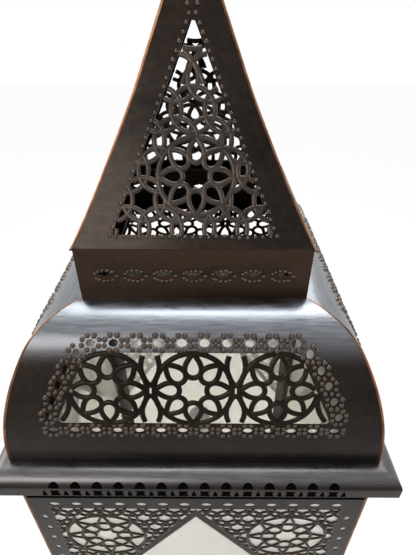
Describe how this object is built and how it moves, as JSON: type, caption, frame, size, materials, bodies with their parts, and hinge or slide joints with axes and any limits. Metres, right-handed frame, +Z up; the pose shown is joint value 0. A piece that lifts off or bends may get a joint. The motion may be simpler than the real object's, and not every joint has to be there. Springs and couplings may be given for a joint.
{
  "type": "lantern floor lamp",
  "caption": "Tall square lantern floor lamp in pierced sheet metal over frosted glass, with domed roof, spire and a hinged rear door.",
  "frame": {"origin": "centre of the footprint, on the floor under the feet", "axes": "+Z up, the front faces -Y, the door is at +Y and +X is to the right seen from the front"},
  "size_m": [0.458, 0.458, 1.369],
  "materials": {
    "antique_bronze": "dark antique bronze patina, brushed and worn",
    "raw_copper": "raw copper edge strip",
    "aged_brass": "aged satin brass",
    "blackened_steel": "matte blackened steel",
    "frosted_glass": "frosted, warm cream",
    "opal_bulb": "opal",
    "black_plastic": "matte"
  },
  "bodies": {
    "lantern": {"apron_front": "antique_bronze", "apron_left": "antique_bronze", "apron_right": "antique_bronze", "base_plate": "blackened_steel", "cable_gland": "black_plastic", "collar_band": "antique_bronze", "corner_post_front_left": "blackened_steel", "corner_post_front_right": "blackened_steel", "corner_post_rear_left": "blackened_steel", "corner_post_rear_right": "blackened_steel", "cornice_rail_back": "antique_bronze", "cornice_rail_front": "antique_bronze", "cornice_rail_left": "antique_bronze", "cornice_rail_right": "antique_bronze", "cornice_soffit": "antique_bronze", "dome_corner_seams": "raw_copper", "dome_panel_back": "antique_bronze", "dome_panel_front": "antique_bronze", "dome_panel_left": "antique_bronze", "dome_panel_right": "antique_bronze", "door_header": "blackened_steel", "finial": "antique_bronze", "finial_cup": "antique_bronze", "foot_front_left": "antique_bronze", "foot_front_right": "antique_bronze", "foot_rear_left": "antique_bronze", "foot_rear_right": "antique_bronze", "glass_pane_front": "frosted_glass", "glass_pane_left": "frosted_glass", "glass_pane_right": "frosted_glass", "glass_retainers": "blackened_steel", "hinge_leaves_fixed": "antique_bronze", "hinge_pins": "aged_brass", "lamp_stem": "aged_brass", "plinth_rail_back": "antique_bronze", "plinth_rail_front": "antique_bronze", "plinth_rail_left": "antique_bronze", "plinth_rail_right": "antique_bronze", "spandrel_corner_seams": "raw_copper", "spandrel_front": "antique_bronze", "spandrel_left": "antique_bronze", "spandrel_right": "antique_bronze", "spire_corner_seams": "raw_copper", "spire_panel_back": "antique_bronze", "spire_panel_front": "antique_bronze", "spire_panel_left": "antique_bronze", "spire_panel_right": "antique_bronze", "stick_bulb": "opal_bulb"},
    "door": {"door_spandrel": "antique_bronze", "door_apron": "antique_bronze", "door_glass_pane": "frosted_glass", "door_frame": "blackened_steel", "hinge_leaves_door": "antique_bronze"},
    "latch": {"latch_knob": "aged_brass", "latch_tongue": "aged_brass"}
  },
  "joints": [
    {"name": "door_hinge", "type": "hinge", "parent": "lantern", "child": "door", "pos_m": [0.211, 0.211, 0.4], "axis": [0, 0, -1], "range_deg": [0, 110]},
    {"name": "latch_turn", "type": "hinge", "parent": "door", "child": "latch", "pos_m": [-0.1903, 0.2068, 0.297], "axis": [0, -1, 0], "range_deg": [0, 90]}
  ]
}
